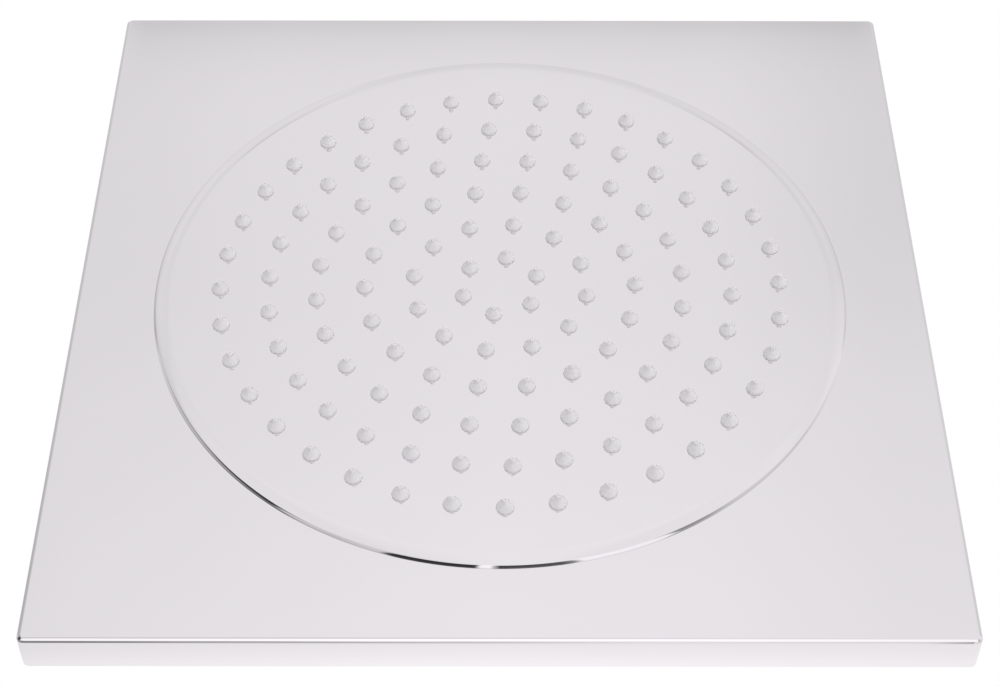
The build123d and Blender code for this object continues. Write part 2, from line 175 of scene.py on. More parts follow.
def ramp(tree, factor, stops, interpolation="LINEAR"):
    """A colour ramp with grey stops, each a place and a level."""
    made = put(tree, "ShaderNodeValToRGB", {"Fac": factor})
    band = made.color_ramp
    band.interpolation = interpolation
    while len(band.elements) < len(stops):
        band.elements.new(1)
    for element, (place, level) in zip(band.elements, stops):
        element.position = place
        element.color = (level, level, level, 1)
    return made.outputs["Color"]


def sum_of(tree, first, second):
    return put(tree, "ShaderNodeMath", {0: first, 1: second}, operation="ADD").outputs[0]


def product(tree, first, second):
    return put(tree, "ShaderNodeMath", {0: first, 1: second}, operation="MULTIPLY").outputs[0]


def below(tree, value, limit):
    return put(tree, "ShaderNodeMath", {0: value, 1: limit}, operation="LESS_THAN").outputs[0]


def spread(tree, value, low, high, to_low, to_high, kind="LINEAR"):
    """A value brought from one range to another."""
    inputs = {"Value": value, "From Min": low, "From Max": high, "To Min": to_low, "To Max": to_high}
    return put(tree, "ShaderNodeMapRange", inputs, interpolation_type=kind).outputs["Result"]


def rising(tree, value, edge, kind="LINEAR"):
    """0 before an edge, 1 past it, and a slope along it."""
    return spread(tree, value, *edge, 0.0, 1.0, kind)


def falling(tree, value, edge, kind="LINEAR"):
    """1 before an edge, 0 past it, and a slope along it."""
    return spread(tree, value, *edge, 1.0, 0.0, kind)


def levels(tree, value, stops, reach=1.0, unit=1.0):
    """Grey levels along a value that runs to the same reach on both sides of zero."""
    place = spread(tree, value, -reach * unit, reach * unit, 0.0, 1.0)
    return ramp(tree, place, [((stop + reach) / (2 * reach), level) for stop, level in stops])


def blend(tree, factor, first, second, how="MIX"):
    """Two colours mixed by a factor."""
    made = put(tree, "ShaderNodeMix", data_type="RGBA", blend_type=how)
    factor_in = made.inputs[0]
    first_in, second_in = [socket for socket in made.inputs if socket.type == "RGBA"]
    for socket, value in ((factor_in, factor), (first_in, first), (second_in, second)):
        if isinstance(value, bpy.types.NodeSocket):
            tree.links.new(value, socket)
        else:
            socket.default_value = value
    return next(socket for socket in made.outputs if socket.type == "RGBA")


def times(tree, first, second):
    return blend(tree, 1.0, first, second, "MULTIPLY")


def shaded(tree, light, share, where):
    """Light changed by a share, where a mask says so."""
    return blend(tree, where, light, times(tree, light, share))


SOCKETS = {int: "NodeSocketInt", float: "NodeSocketFloat"}


def new_tree(name, inputs):
    """A geometry tree with a named input for each size, object or material, and those inputs."""
    tree = bpy.data.node_groups.new(name, "GeometryNodeTree")
    for label, value in inputs.items():
        if isinstance(value, bpy.types.ID):
            kind = "NodeSocketMaterial" if isinstance(value, bpy.types.Material) else "NodeSocketObject"
        else:
            kind = SOCKETS[type(value)]
        tree.interface.new_socket(label, in_out="INPUT", socket_type=kind)
    tree.interface.new_socket("Geometry", in_out="OUTPUT", socket_type="NodeSocketGeometry")
    return tree, put(tree, "NodeGroupInput").outputs


def joined(tree, *parts):
    made = put(tree, "GeometryNodeJoinGeometry")
    for part in parts:
        tree.links.new(part, made.inputs[0])
    return made.outputs[0]


def moved(tree, part, **inputs):
    return put(tree, "GeometryNodeTransform", {"Geometry": part, **inputs}).outputs[0]


def along(tree, **lengths):
    return put(tree, "ShaderNodeCombineXYZ", lengths).outputs[0]


def lifted(tree, part, height):
    return moved(tree, part, Translation=along(tree, Z=height))


def turned(tree, part, angle):
    return moved(tree, part, Rotation=along(tree, Z=angle))


def coated(tree, part, finish):
    return put(tree, "GeometryNodeSetMaterial", {"Geometry": part, "Material": finish}).outputs[0]


def output(tree, part):
    tree.links.new(part, put(tree, "NodeGroupOutput").inputs[0])


def grown(name, tree, inputs):
    """A plain mesh object, made by running a tree once."""
    piece = bpy.data.objects.new(name, bpy.data.meshes.new(name))
    scene.collection.objects.link(piece)
    modifier = piece.modifiers.new("tree", "NODES")
    modifier.node_group = tree
    for item in tree.interface.items_tree:
        if item.in_out == "INPUT":
            modifier[item.identifier] = inputs[item.name]
    done = piece.evaluated_get(bpy.context.evaluated_depsgraph_get())
    mesh = bpy.data.meshes.new_from_object(done)
    piece.modifiers.remove(modifier)
    piece.data = mesh
    mesh.name = name
    return piece


# Meshes

def is_flat(face):
    return max(abs(x) for x in face.normal) > FLAT


def is_crisp(edge):
    """Corners, and the seams where a flat wall meets a bend, so that the wall keeps its own shading."""
    if len(edge.link_faces) != 2:
        return True
    first, second = edge.link_faces
    return edge.calc_face_angle() > CREASE or is_flat(first) != is_flat(second)


class Skin:
    """A closed surface in the making, from strips between rows of points and from flat faces."""

    def __init__(self):
        self.mesh = bmesh.new()

    def loop(self, points):
        return [self.mesh.verts.new(point) for point in points]

    def strips(self, *rows):
        loops = [self.loop(row) for row in rows]
        for low, high in zip(loops, loops[1:]):
            for a, b, c, d in zip(low, low[1:] + low[:1], high[1:] + high[:1], high):
                self.mesh.faces.new((a, b, c, d))

    def flat(self, *rows):
        edges = []
        for loop in (self.loop(row) for row in rows):
            edges += [self.mesh.edges.new(pair) for pair in zip(loop, loop[1:] + loop[:1])]
        bmesh.ops.triangle_fill(self.mesh, use_beauty=True, edges=edges)

    def add(self, piece):
        """Takes over the faces of a finished piece, which is then removed."""
        self.mesh.from_mesh(piece.data)
        bpy.data.objects.remove(piece)

    def finish(self, name, material):
        mesh = self.mesh
        bmesh.ops.remove_doubles(mesh, verts=mesh.verts, dist=WELD)
        bmesh.ops.dissolve_degenerate(mesh, dist=WELD, edges=mesh.edges)
        bmesh.ops.recalc_face_normals(mesh, faces=mesh.faces)
        for face in mesh.faces:
            face.smooth = True
            face.material_index = 0
        for edge in mesh.edges:
            edge.smooth = not is_crisp(edge)
        data = bpy.data.meshes.new(name)
        mesh.to_mesh(data)
        mesh.free()
        data.materials.append(material)
        piece = bpy.data.objects.new(name, data)
        scene.collection.objects.link(piece)
        return piece


def circle(radius, z, steps=ROUND_STEPS):
    turns = [2 * pi * step / steps for step in range(steps)]
    return [(radius * cos(turn), radius * sin(turn), z) for turn in turns]


def rounded_square(reach, corner_r, z):
    """Points round a square that reaches this far from the axis, corner by corner.

    A point on each side close to the corner keeps the corner's shading off the flat wall.
    """
    centre = reach - corner_r
    arc = [pi / 2 * step / CORNER_STEPS for step in range(CORNER_STEPS + 1)]
    corner = [Vector((reach, centre - CORNER_LEAD, z))]
    for turn in arc:
        corner.append(Vector((centre + corner_r * cos(turn), centre + corner_r * sin(turn), z)))
    corner += [Vector((centre - CORNER_LEAD, reach, z))]
    quarters = [Matrix.Rotation(quarter * pi / 2, 3, "Z") for quarter in range(4)]
    return [quarter @ point for quarter in quarters for point in corner]


def lathed(skin, profile, steps=ROUND_STEPS):
    """A turned surface from its half section, a list of radius and height."""
    skin.strips(*[circle(radius, z, steps) for radius, z in profile])


# Finishes

def new_finish(name):
    """A material with an empty node tree, its shader and the object's own coordinates."""
    material = bpy.data.materials.new(name)
    material.use_nodes = True
    tree = material.node_tree
    tree.nodes.clear()
    shader = put(tree, "ShaderNodeBsdfPrincipled")
    put(tree, "ShaderNodeOutputMaterial", {"Surface": shader.outputs["BSDF"]})
    place = put(tree, "ShaderNodeTexCoord").outputs["Object"]
    return material, tree, shader, place


def noise(tree, place, scale, detail=2.0, roughness=0.5):
    inputs = {"Vector": place, "Scale": scale, "Detail": detail, "Roughness": roughness}
    return put(tree, "ShaderNodeTexNoise", inputs).outputs["Fac"]


def stretched(tree, place, factors):
    return put(tree, "ShaderNodeMapping", {"Vector": place, "Scale": factors}).outputs["Vector"]


def two_tone(tree, factor, first, second):
    return blend(tree, factor, (*first, 1.0), (*second, 1.0))


def bumped(tree, shader, height, strength, distance):
    made = put(tree, "ShaderNodeBump", {"Height": height, "Strength": strength, "Distance": distance})
    tree.links.new(made.outputs["Normal"], shader.inputs["Normal"])


def feed(tree, shader, **sockets):
    """Sets the shader's sockets, named with underscores for spaces."""
    for name, value in sockets.items():
        socket = shader.inputs[name.replace("_", " ")]
        if isinstance(value, bpy.types.NodeSocket):
            tree.links.new(value, socket)
        else:
            socket.default_value = value


def mirror_polished_steel():
    """Buffed sheet: clear reflections, a faint haze left by the wheel and a slow waviness."""
    material, tree, shader, place = new_finish("mirror_polished_steel")
    haze = noise(tree, place, scale=22.0, detail=4.0, roughness=0.6)
    wheel = noise(tree, stretched(tree, place, (9.0, 160.0, 40.0)), scale=6.0, detail=3.0)
    cloud = sum_of(tree, product(tree, haze, 0.6), product(tree, wheel, 0.4))
    feed(
        tree,
        shader,
        Base_Color=two_tone(tree, cloud, (0.862, 0.856, 0.868), (0.882, 0.877, 0.887)),
        Metallic=1.0,
        Roughness=spread(tree, cloud, *NOISE_RANGE, 0.02, 0.05),
    )
    waves = noise(tree, place, scale=9.0, detail=1.0)
    bumped(tree, shader, waves, strength=0.05, distance=1.0 * MM)
    return material


def brushed_steel():
    """Sheet with a fine lengthwise grain."""
    material, tree, shader, place = new_finish("brushed_steel")
    grain = noise(tree, stretched(tree, place, (12.0, 900.0, 900.0)), scale=1.0, detail=4.0, roughness=0.65)
    cloud = noise(tree, place, scale=14.0, detail=3.0)
    feed(
        tree,
        shader,
        Base_Color=two_tone(tree, grain, (0.60, 0.60, 0.61), (0.74, 0.74, 0.745)),
        Metallic=1.0,
        Roughness=spread(tree, sum_of(tree, grain, cloud), 0.7, 1.3, 0.24, 0.36),
        Anisotropic=0.5,
    )
    bumped(tree, shader, grain, strength=0.12, distance=0.05 * MM)
    return material


def chrome_plating():
    """Bright plating over turned brass, with the faint rings of the lathe under it."""
    material, tree, shader, place = new_finish("chrome_plating")
    haze = noise(tree, place, scale=160.0, detail=3.0)
    rings = noise(tree, stretched(tree, place, (30.0, 30.0, 2600.0)), scale=1.0, detail=2.0)
    feed(
        tree,
        shader,
        Base_Color=two_tone(tree, haze, (0.80, 0.80, 0.815), (0.84, 0.84, 0.85)),
        Metallic=1.0,
        Roughness=spread(tree, haze, *NOISE_RANGE, 0.05, 0.11),
    )
    bumped(tree, shader, rings, strength=0.04, distance=0.02 * MM)
    return material


def clear_silicone():
    """Milky soft rubber that lets some light through."""
    material, tree, shader, place = new_finish("clear_silicone")
    milk = noise(tree, place, scale=420.0, detail=3.0)
    feed(
        tree,
        shader,
        Base_Color=two_tone(tree, milk, (0.92, 0.92, 0.925), (0.96, 0.96, 0.965)),
        Roughness=spread(tree, milk, *NOISE_RANGE, 0.22, 0.34),
        IOR=1.41,
        Subsurface_Weight=1.0,
        Subsurface_Radius=(1.0, 1.0, 1.0),
        Subsurface_Scale=0.35 * MM,
    )
    return material


def plain_finish(name, dark, light, roughness, scale, metallic=0.0):
    """A speckled finish: two shades, a range of roughness and the speckle's scale."""
    material, tree, shader, place = new_finish(name)
    speckle = noise(tree, place, scale, detail=4.0, roughness=0.6)
    feed(
        tree,
        shader,
        Base_Color=two_tone(tree, speckle, dark, light),
        Metallic=metallic,
        Roughness=spread(tree, speckle, *NOISE_RANGE, *roughness),
    )
    bumped(tree, shader, speckle, strength=0.1, distance=0.03 * MM)
    return material


steel = mirror_polished_steel()
cover_finish = brushed_steel()
plating = chrome_plating()
silicone = clear_silicone()
zinc = plain_finish(
    "zinc_plate", (0.56, 0.58, 0.60), (0.70, 0.71, 0.71), (0.28, 0.45), 300.0, metallic=1.0
)
brass = plain_finish(
    "turned_brass", (0.66, 0.49, 0.22), (0.80, 0.63, 0.33), (0.22, 0.36), 260.0, metallic=1.0
)
rubber = plain_finish("black_rubber", (0.018, 0.018, 0.019), (0.045, 0.045, 0.046), (0.55, 0.75), 500.0)
moulding = plain_finish("white_moulding", (0.78, 0.78, 0.76), (0.86, 0.86, 0.84), (0.38, 0.5), 180.0)
slider = plain_finish("seat_plastic", (0.84, 0.84, 0.81), (0.90, 0.90, 0.88), (0.3, 0.4), 240.0)
strainer = plain_finish(
    "strainer_steel", (0.50, 0.50, 0.51), (0.64, 0.64, 0.65), (0.3, 0.42), 700.0, metallic=1.0
)
limiter = plain_finish("green_plastic", (0.10, 0.24, 0.12), (0.16, 0.32, 0.17), (0.35, 0.48), 400.0)

node_finishes = {
    "front_shell": steel,
    "nozzle_mat": silicone,
    "water_chamber": moulding,
    "chamber_studs": zinc,
    "chamber_nuts": zinc,
    "spigot_seal": rubber,
    "socket_body": plating,
    "lock_nut": brass,
    "boss_gasket": rubber,
    "collar_nut": plating,
    "ball_seat": slider,
    "ball_stem": plating,
    "inlet_nut": plating,
    "stem_clip": zinc,
    "inlet_washer": rubber,
    "filter_screen": strainer,
    "flow_limiter": limiter,
    "back_cover": cover_finish,
    "corner_brackets": zinc,
    "cover_screws": zinc,
}
for name, finish in node_finishes.items():
    nodes[name].data.materials.clear()
    nodes[name].data.materials.append(finish)


# Nozzle rings, the points that the holes and the nozzles share

ring_sizes = {
    "Rings": RING_COUNT,
    "Step": RING_STEP,
    "First radius": FIRST_RING_R,
    "Pitch": RING_PITCH,
    "Turn": FIELD_TURN,
}


def ring_tree():
    """Rings of 6, 12, 18 points and so on, all counted from one radius."""
    tree, size = new_tree("nozzle_rings", ring_sizes)
    first = put(tree, "GeometryNodeRepeatInput", {"Iterations": size["Rings"]})
    last = put(tree, "GeometryNodeRepeatOutput")
    first.pair_with_output(last)
    turn = first.outputs["Iteration"]
    count = product(tree, size["Step"], sum_of(tree, turn, 1.0))
    radius = sum_of(tree, size["First radius"], product(tree, size["Pitch"], turn))
    ring = put(tree, "GeometryNodeMeshCircle", {"Vertices": count, "Radius": radius}).outputs[0]
    ring = turned(tree, ring, size["Turn"])
    tree.links.new(joined(tree, first.outputs["Geometry"], ring), last.inputs["Geometry"])
    output(tree, last.outputs["Geometry"])
    return tree


rings = ring_tree()


def ring_points(tree, size):
    group = put(tree, "GeometryNodeGroup", node_tree=rings)
    for label in ring_sizes:
        tree.links.new(size[label], group.inputs[label])
    return group.outputs["Geometry"]


def on_points(tree, points, part):
    placed = put(tree, "GeometryNodeInstanceOnPoints", {"Points": points, "Instance": part}).outputs[0]
    return put(tree, "GeometryNodeRealizeInstances", {"Geometry": placed}).outputs[0]


# Front shell

def perforated_field(sizes):
    """The pressed field's flat: a disc of sheet with a hole at each nozzle, its front edge broken."""
    tree, size = new_tree("perforated_field", sizes)
    points = ring_points(tree, size)
    steps = size["Hole steps"]
    hole_r = size["Hole radius"]
    edge = size["Hole edge"]
    wide_r = sum_of(tree, hole_r, edge)
    depth = sum_of(tree, size["Sheet"], product(tree, edge, -1.0))

    def outline(radius, steps):
        inputs = {"Resolution": steps, "Radius": radius}
        return put(tree, "GeometryNodeCurvePrimitiveCircle", inputs).outputs[0]

    def pierced(radius, height):
        rim = outline(size["Radius"], size["Rim steps"])
        holes = on_points(tree, points, outline(radius, steps))
        disc = put(tree, "GeometryNodeFillCurve", {"Curve": joined(tree, rim, holes)}).outputs[0]
        return lifted(tree, disc, height)

    def sleeve(bottom_r, depth):
        inputs = {"Vertices": steps, "Radius Top": hole_r, "Radius Bottom": bottom_r, "Depth": depth}
        return put(tree, "GeometryNodeMeshCone", inputs, fill_type="NONE").outputs[0]

    wall = lifted(tree, sleeve(hole_r, depth), edge)
    collars = on_points(tree, points, joined(tree, sleeve(wide_r, edge), wall))
    front = pierced(wide_r, 0.0)
    inside = pierced(hole_r, size["Sheet"])
    sheet = lifted(tree, joined(tree, front, inside, collars), size["Height"])
    output(tree, coated(tree, sheet, size["Finish"]))
    return grown("field", tree, sizes)


def bends(arcs):
    """Points along arcs that follow each other, as reach and drop from the first."""
    reach = 0.0
    drop = 0.0
    points = [(reach, drop)]
    for first, last, radius in arcs:
        for step in range(ARC_STEPS):
            before = radians(first + (last - first) * step / ARC_STEPS)
            after = radians(first + (last - first) * (step + 1) / ARC_STEPS)
            reach += radius * (sin(after) - sin(before))
            drop += radius * (cos(before) - cos(after))
            points.append((reach, drop))
    return points


def shoulder(z):
    """Half section of the field's shoulder, brought to its width and to the field's rise."""
    points = bends(SHOULDER_ARCS)
    wide, tall = points[-1]
    return [
        (FIELD_R - SHOULDER_W * (1 - reach / wide), z - FIELD_RISE * (1 - drop / tall))
        for reach, drop in points
    ]


def outer_rows():
    """Rows of points from the flat face round the fold and up the slightly bowed wall."""
    points = bends(FOLD_ARCS)
    wide, tall = points[-1]
    wall_start = face_z + tall
    rows = []
    for reach, drop in points[:-1]:
        inset = WALL_BOW + wide - reach
        rows.append(rounded_square(half - inset, CORNER_R - inset, face_z + drop))
    for step in range(WALL_ROWS + 1):
        share = step / WALL_ROWS
        inset = WALL_BOW * (2 * share - 1) ** 2
        z = wall_start + (back_z - wall_start) * share
        rows.append(rounded_square(half - inset, CORNER_R - inset, z))
    return rows


def inner_rows():
    """Rows of points from the inside floor round the inner bend to the rim."""
    inner = half - SHEET
    rows = []
    for step in range(BEND_STEPS + 1):
        turn = pi / 2 * step / BEND_STEPS
        inset = INNER_BEND * (1 - sin(turn))
        floor_z = face_z + SHEET + INNER_BEND * (1 - cos(turn))
        rows.append(rounded_square(inner - inset, CORNER_R - SHEET - inset, floor_z))
    rows.append(rounded_square(inner, CORNER_R - SHEET, back_z))
    return rows


def front_shell():
    """One sheet: square face, folded walls, raised round field and its holes."""
    inside_z = face_z + SHEET
    skin = Skin()
    skin.add(
        perforated_field(
            {
                **ring_sizes,
                "Hole radius": HOLE_R,
                "Hole edge": HOLE_EDGE,
                "Hole steps": HOLE_STEPS,
                "Radius": FIELD_R - SHOULDER_W,
                "Rim steps": ROUND_STEPS,
                "Sheet": SHEET,
                "Height": field_z,
                "Finish": steel,
            }
        )
    )
    lathed(skin, shoulder(face_z))
    lathed(skin, shoulder(inside_z))
    outside_rows = outer_rows()
    inside_rows = inner_rows()
    skin.strips(*outside_rows)
    skin.strips(*inside_rows)
    skin.strips(outside_rows[-1], inside_rows[-1])
    skin.flat(circle(FIELD_R, face_z), outside_rows[0])
    skin.flat(circle(FIELD_R, inside_z), inside_rows[0])
    return skin.finish("pressed_shell", steel)


shell = front_shell()
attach(shell, "head")
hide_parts("front_shell")


# Nozzle mat

def nozzle():
    """One nipple, turned: a full base, a low cone and a slender tip with its jet hole."""
    base_z = mat_high.z - FIELD_RISE / 2
    height = field_z - tip_z
    skin = Skin()
    profile = [(0.0, base_z), (NOZZLE_R, base_z)]
    profile += [(NOZZLE_R * wide, field_z - height * rise) for rise, wide in NOZZLE_FORM]
    profile += [(JET_R, tip_z), (0.0, tip_z + JET_DEPTH)]
    lathed(skin, profile, NOZZLE_STEPS)
    return skin.finish("nipple", silicone)


def nozzle_mat(sizes):
    """The moulded mat: a disc inside the field with a nipple through each hole."""
    tree, size = new_tree("nozzle_mat", sizes)
    nipple = put(tree, "GeometryNodeObjectInfo", {"Object": size["Nipple"]}).outputs["Geometry"]
    nipples = on_points(tree, ring_points(tree, size), nipple)
    cylinder = {
        "Vertices": size["Disc steps"],
        "Radius": size["Disc radius"],
        "Depth": size["Disc thickness"],
    }
    disc = put(tree, "GeometryNodeMeshCylinder", cylinder).outputs[0]
    whole = joined(tree, lifted(tree, disc, size["Disc height"]), nipples)
    output(tree, coated(tree, whole, size["Finish"]))
    return grown("silicone_mat", tree, sizes)


one_nozzle = nozzle()
mat = nozzle_mat(
    {
        **ring_sizes,
        "Nipple": one_nozzle,
        "Disc radius": mat_r,
        "Disc thickness": FIELD_RISE,
        "Disc height": mat_high.z - FIELD_RISE / 2,
        "Disc steps": MAT_STEPS,
        "Finish": silicone,
    }
)
bpy.data.objects.remove(one_nozzle)
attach(mat, "head")
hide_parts("nozzle_mat")


# Union nut

def hexagon(flat_r, z, steps):
    """Points round a hexagon, with a corner on X; z may be a height or a function of the radius."""
    points = []
    for step in range(steps):
        turn = 2 * pi * step / steps
        radius = flat_r / cos(turn % (2 * pi / HEX) - pi / HEX)
        points.append((radius * cos(turn), radius * sin(turn), z(radius) if callable(z) else z))
    return points


def helical_thread(sizes):
    """One ridge wound down the nut's bore, its crest at the minor radius."""
    tree, size = new_tree("helical_thread", sizes)
    spiral = {
        "Resolution": size["Steps"],
        "Rotations": size["Turns"],
        "Start Radius": size["Root radius"],
        "End Radius": size["Root radius"],
        "Height": size["Length"],
        "Reverse": True,
    }
    path = put(tree, "GeometryNodeCurveSpiral", spiral).outputs[0]
    path = put(tree, "GeometryNodeSetCurveNormal", {"Curve": path}, mode="Z_UP").outputs[0]
    section = {
        "Bottom Width": size["Root width"],
        "Top Width": size["Crest width"],
        "Height": size["Depth"],
        "Offset": 0.0,
    }
    ridge = put(tree, "GeometryNodeCurvePrimitiveQuadrilateral", section, mode="TRAPEZOID").outputs[0]
    ridge = moved(tree, ridge, Translation=along(tree, Y=product(tree, size["Depth"], 0.5)))
    ridge = turned(tree, ridge, size["Ridge turn"])
    inputs = {"Curve": path, "Profile Curve": ridge, "Fill Caps": True}
    wound = put(tree, "GeometryNodeCurveToMesh", inputs).outputs[0]
    wound = lifted(tree, wound, size["Height"])
    output(tree, coated(tree, wound, size["Finish"]))
    return grown("thread", tree, sizes)


def union_nut():
    """Hexagon nut, chamfered at both ends, with its thread, washer recess and lip."""
    flat_r = NUT_AF / 2
    corner_r = flat_r / cos(pi / HEX)
    top = nut_high.z
    bottom = nut_low.z
    recess_z = bottom + NUT_LIP

    def fall(radius):
        return NUT_CORNER_DROP * (radius - flat_r) / (corner_r - flat_r)

    turns = (THREAD_LENGTH - MOUTH_CHAMFER - THREAD_PITCH) / THREAD_PITCH
    skin = Skin()
    skin.strips(
        circle(STEM_HOLE_R, bottom, NUT_STEPS),
        circle(flat_r, bottom, NUT_STEPS),
        hexagon(flat_r, lambda radius: bottom + fall(radius), NUT_STEPS),
        hexagon(flat_r, lambda radius: top - fall(radius), NUT_STEPS),
        circle(flat_r, top, NUT_STEPS),
        circle(THREAD_ROOT_R + MOUTH_CHAMFER / 2, top, NUT_STEPS),
        circle(THREAD_ROOT_R, top - MOUTH_CHAMFER / 2, NUT_STEPS),
        circle(THREAD_ROOT_R, recess_z, NUT_STEPS),
        circle(STEM_HOLE_R, recess_z, NUT_STEPS),
        circle(STEM_HOLE_R, bottom, NUT_STEPS),
    )
    skin.add(
        helical_thread(
            {
                "Steps": THREAD_STEPS,
                "Turns": turns,
                "Root radius": THREAD_ROOT_R,
                "Length": turns * THREAD_PITCH,
                "Root width": THREAD_ROOT,
                "Crest width": THREAD_CREST,
                "Depth": THREAD_ROOT_R - THREAD_MINOR_R,
                "Ridge turn": THREAD_SIDE,
                "Height": top - THREAD_LENGTH + THREAD_PITCH / 2,
                "Finish": plating,
            }
        )
    )
    return skin.finish("threaded_nut", plating)


nut = union_nut()
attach(nut, "inlet")
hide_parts("inlet_nut")


# Cover screws

def button_screw():
    """Domed head with a hexagon socket, on a plain shank."""
    top = screw_high.z
    socket_z = top - SCREW_SOCKET_DEPTH
    flat_r = SCREW_SOCKET_AF / 2
    dome = []
    for row in range(SCREW_DOME_ROWS + 1):
        turn = pi / 2 * row / SCREW_DOME_ROWS
        radius = SCREW_RIM_R + (SCREW_HEAD_R - SCREW_RIM_R) * sin(turn)
        share = SCREW_BRIM + (1 - SCREW_BRIM) * cos(turn)
        dome.append(circle(radius, back_z + (top - back_z) * share, SCREW_STEPS))
    skin = Skin()
    skin.strips(
        circle(0.0, socket_z, SCREW_STEPS),
        hexagon(flat_r, socket_z, SCREW_STEPS),
        hexagon(flat_r, top, SCREW_STEPS),
        *dome,
        circle(SCREW_HEAD_R, back_z, SCREW_STEPS),
        circle(SCREW_SHANK_R, back_z, SCREW_STEPS),
        circle(SCREW_SHANK_R, screw_low.z, SCREW_STEPS),
        circle(0.0, screw_low.z, SCREW_STEPS),
    )
    return skin.finish("button_screw", zinc)


def screw_set(sizes):
    """A screw at each corner of the cover."""
    tree, size = new_tree("cover_screws", sizes)
    spacing = size["Spacing"]
    inputs = {"Size X": spacing, "Size Y": spacing, "Vertices X": 2, "Vertices Y": 2}
    places = put(tree, "GeometryNodeMeshGrid", inputs).outputs[0]
    screw = put(tree, "GeometryNodeObjectInfo", {"Object": size["Screw"]}).outputs["Geometry"]
    whole = on_points(tree, places, screw)
    output(tree, coated(tree, whole, size["Finish"]))
    return grown("button_screws", tree, sizes)


one_screw = button_screw()
screws = screw_set({"Screw": one_screw, "Spacing": 2 * (screw_high.x - SCREW_HEAD_R), "Finish": zinc})
bpy.data.objects.remove(one_screw)
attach(screws, "head")
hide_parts("cover_screws")


# Studio: one environment for light and reflections, and a white ground for the camera
# A direction is told by how far it points right (X), to the front (Y) and up (Z), each from -1 to 1

# Levels of the room by height
TENT = [
    (-1.00, 0.93),
    (-0.82, 0.935),
    (-0.766, 0.895),
    (-0.72, 0.872),
    (-0.665, 0.87),
    (-0.50, 0.81),
    (-0.20, 0.78),
    (0.00, 0.80),
    (0.20, 0.84),
    (0.60, 0.88),
    (0.80, 0.93),
    (0.83, 0.99),
    (0.86, 1.06),
    (1.00, 1.00),
]
# Share of light on the back of the room by height: a grey seam, which the face's far edge mirrors
BACK_SEAM = [
    (-1.00, 1.0),
    (-0.665, 1.0),
    (-0.655, 0.99),
    (-0.643, 0.955),
    (-0.6374, 0.885),
    (-0.634, 0.79),
    (-0.626, 0.79),
    (-0.612, 0.99),
    (1.00, 1.0),
]
# Levels in the open front by heading, in degrees from the front to the right: gaps and pale flags
OPENING = [
    (-180, 0.80),
    (-128, 0.78),
    (-118, 0.50),
    (-95, 0.30),
    (-88, 0.06),
    (-67, 0.05),
    (-64, 0.80),
    (-54, 0.80),
    (-50, 0.70),
    (-34, 0.72),
    (-32, 0.04),
    (-6.6, 0.04),
    (-5.6, 1.08),
    (-2.0, 1.08),
    (-1.0, 0.06),
    (18, 0.10),
    (21.5, 0.30),
    (23.5, 1.08),
    (49, 1.05),
    (52, 0.30),
    (60, 0.34),
    (70, 0.66),
    (100, 0.92),
    (140, 0.92),
    (180, 0.80),
]
# Levels along the horizon of the open front: dark on the left, with one short dash on the right
HORIZON = [
    (-180, 0.80),
    (-134, 0.60),
    (-124, 0.60),
    (-117, 1.05),
    (-110, 1.00),
    (-95, 0.85),
    (-75, 0.45),
    (-60, 0.30),
    (-12.5, 0.27),
    (-11, 0.29),
    (-9.7, 0.34),
    (-8.3, 0.46),
    (-4.4, 0.53),
    (0, 0.68),
    (2.1, 0.80),
    (3.8, 0.88),
    (11.7, 0.93),
    (12.0, 0.42),
    (12.9, 0.42),
    (13.2, 0.93),
    (60, 0.70),
    (92, 0.66),
    (117, 0.90),
    (124, 0.70),
    (134, 0.70),
    (180, 0.80),
]
# Share of light on the ground before the opening, by how far to the front: a grey strip
THRESHOLD = [(-1.0, 1.0), (0.08, 1.0), (0.13, 0.80), (0.36, 0.80), (0.40, 1.0), (1.0, 1.0)]
# Share of light on the middle of the back, by height
BACK_WALL = [(-1.0, 1.0), (-0.1, 1.0), (0.1, 0.70), (0.5, 0.74), (0.75, 1.0), (1.0, 1.0)]
# Share of light on the back by the distance to either side
BACK_CORNERS = [
    (0.0, 1.0),
    (0.09, 1.0),
    (0.19, 1.14),
    (0.38, 1.13),
    (0.48, 1.06),
    (0.62, 1.0),
    (1.0, 1.0),
]
# Levels from the left of the room to its right
SIDES = [
    (-1.0, 0.62),
    (-0.75, 0.80),
    (-0.50, 0.95),
    (-0.25, 0.935),
    (-0.215, 0.937),
    (-0.19, 0.957),
    (0.0, 1.0),
    (0.10, 0.98),
    (0.18, 0.935),
    (0.40, 0.94),
    (1.0, 1.0),
]
SIDES_TOP = 0.40  # the right side shades nothing above this height
ROOM_TINT = (1.0, 0.972, 0.998, 1.0)

# Edges of the open front
SILL_FRONT = (-0.3, 0.0)  # along these, to the front, the sill falls
SILL_HEIGHT = (-0.75, -0.80)
SILL_SOFT = 0.06
LINTEL_HEIGHT = (0.36, 0.46)
JAMB_FRONT = (-0.75, -0.45)
HORIZON_HEIGHT = (-0.40, -0.30)  # along these the horizon takes over from the flags
FIRST_BOUNCES = 0.5  # the open front is seen only by reflections before any diffuse bounce

# Ground
GROUND_HEIGHT = -0.70
STRIP_SIDE = (-0.1, 0.2)  # along these, to the right, the grey strip fades
STRIP_FAINT = 0.1
GLEAM_FRONT = (0.36, 0.40)
GLEAM = 1.26  # light on the ground just before the opening
SLOPE_SIDE = (-0.16, 0.16)
SLOPE = (0.978, 1.008)  # shares of light on the ground, from left to right

